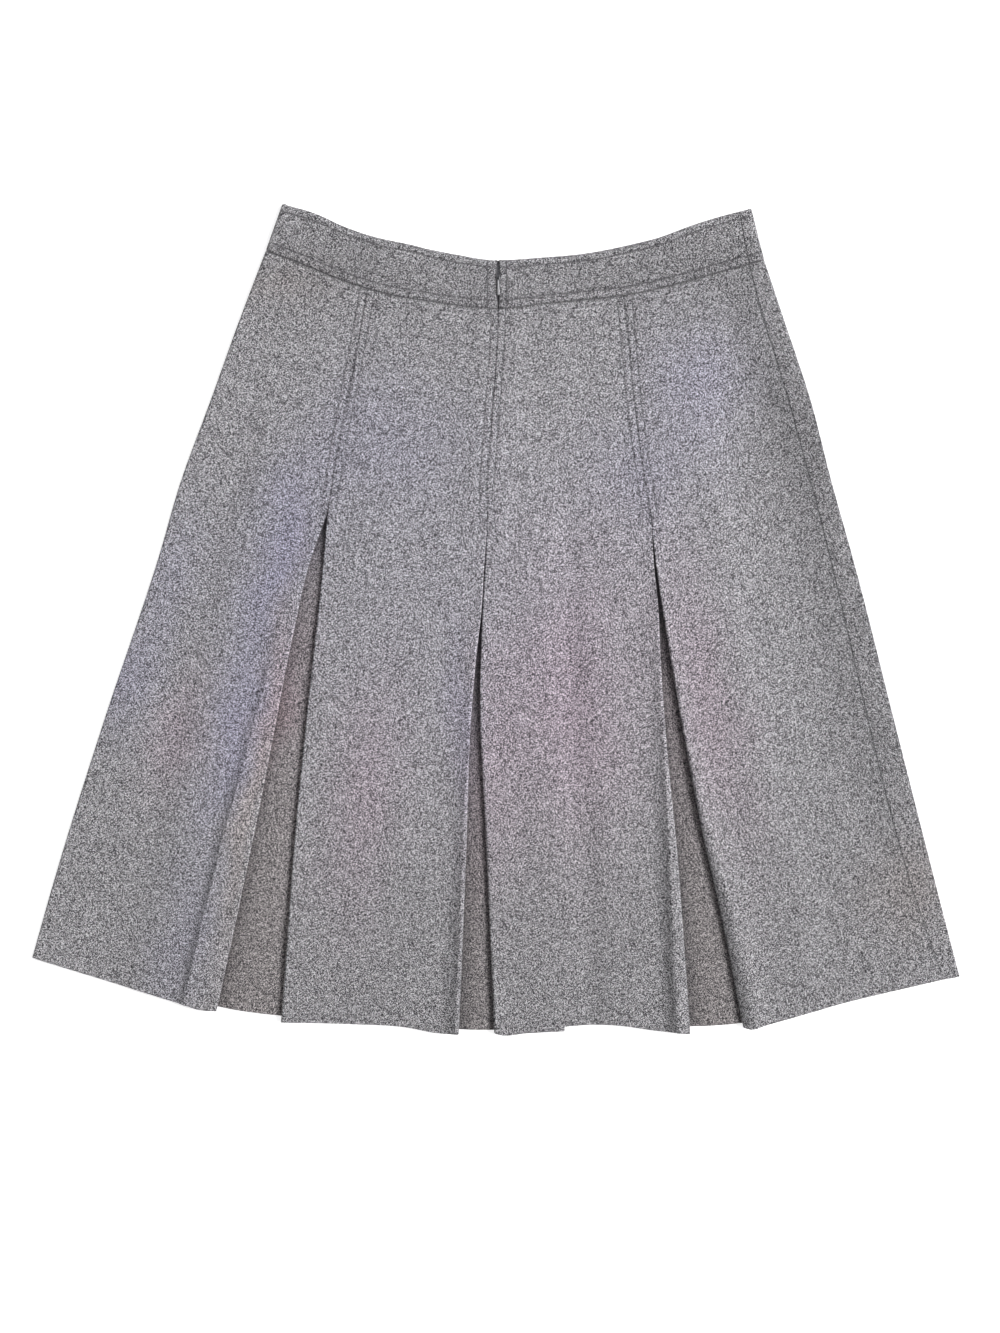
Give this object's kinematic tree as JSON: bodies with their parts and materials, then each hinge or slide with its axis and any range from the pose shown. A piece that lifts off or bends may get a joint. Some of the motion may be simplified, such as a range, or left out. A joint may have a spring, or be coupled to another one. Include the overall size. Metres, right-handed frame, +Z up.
{
  "type": "pleated midi skirt",
  "caption": "Knee-length A-line skirt in grey heathered wool with inverted pleats, a shaped waistband and a back zip, laid flat with its back up.",
  "frame": {"origin": "on the surface, below the middle of the laid skirt", "axes": "+Y towards the waist, +X to the right as seen from above, +Z up, out of the skirt's back"},
  "size_m": [0.7878, 0.706, 0.012],
  "materials": {
    "wool": "matte heathered grey wool twill with a soft nap",
    "wool_inside": "the same wool in the shade of the pleats",
    "zip_tape": "matte woven tape",
    "zip_metal": "satin grey metal"
  },
  "bodies": {
    "skirt": {"front_panel": "wool", "back_side_panel_left": "wool", "back_centre_panel_left": "wool", "back_centre_panel_right": "wool", "back_side_panel_right": "wool", "pleat_underlay_left": "wool_inside", "pleat_underlay_centre": "wool_inside", "pleat_underlay_right": "wool_inside", "waistband_front": "wool", "waistband_back_left": "wool", "waistband_back_right": "wool", "zip_tape": "zip_tape", "zip_slider": "zip_metal"},
    "zip_pull": {"zip_pull": "zip_metal"}
  },
  "joints": [
    {"name": "zip_pull_hinge", "type": "hinge", "parent": "skirt", "child": "zip_pull", "pos_m": [0.0018, 0.2915, 0.0074], "axis": [-1, 0, 0], "range_deg": [0, 150]}
  ]
}
